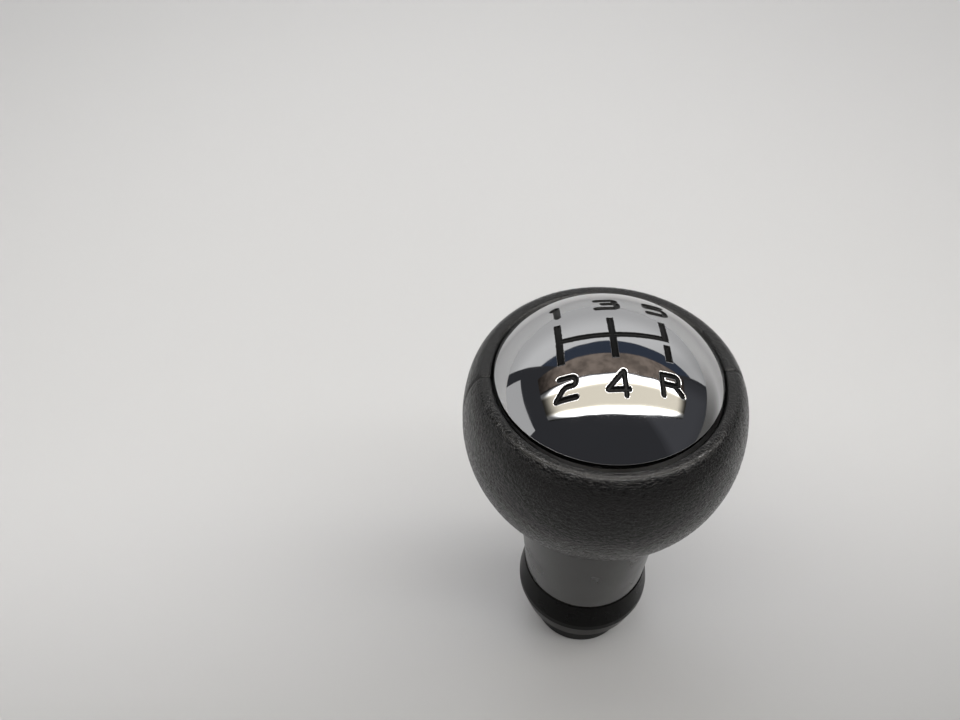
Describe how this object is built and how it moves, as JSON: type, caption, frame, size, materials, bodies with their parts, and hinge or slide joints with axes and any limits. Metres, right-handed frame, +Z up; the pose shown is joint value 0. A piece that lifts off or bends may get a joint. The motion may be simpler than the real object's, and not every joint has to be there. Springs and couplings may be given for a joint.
{
  "type": "gear shift knob",
  "caption": "Leather-covered ball knob for a manual gear lever, with a domed chrome cap that shows the shift pattern, a tapered neck and a gaiter collar.",
  "frame": {"origin": "centre of the foot's lower face, on the lever axis", "axes": "+Z up the lever towards the cap, +X to the reader's right, +Y forward in the car"},
  "size_m": [0.052, 0.052, 0.0914],
  "materials": {
    "cap_chrome": "mirror plated",
    "core_plastic": "as moulded",
    "grip_leather": "fine matte grain",
    "neck_plastic": "satin",
    "collar_plastic": "gloss",
    "bush_plastic": "as moulded",
    "spring_steel": "bright wire"
  },
  "bodies": {
    "root": {"chrome_cap": "cap_chrome", "head_core": "core_plastic", "grip_cover_front": "grip_leather", "grip_cover_rear": "grip_leather", "neck_sleeve": "neck_plastic", "gaiter_collar": "collar_plastic", "lever_bush": "bush_plastic", "bush_ring": "spring_steel"}
  },
  "joints": []
}
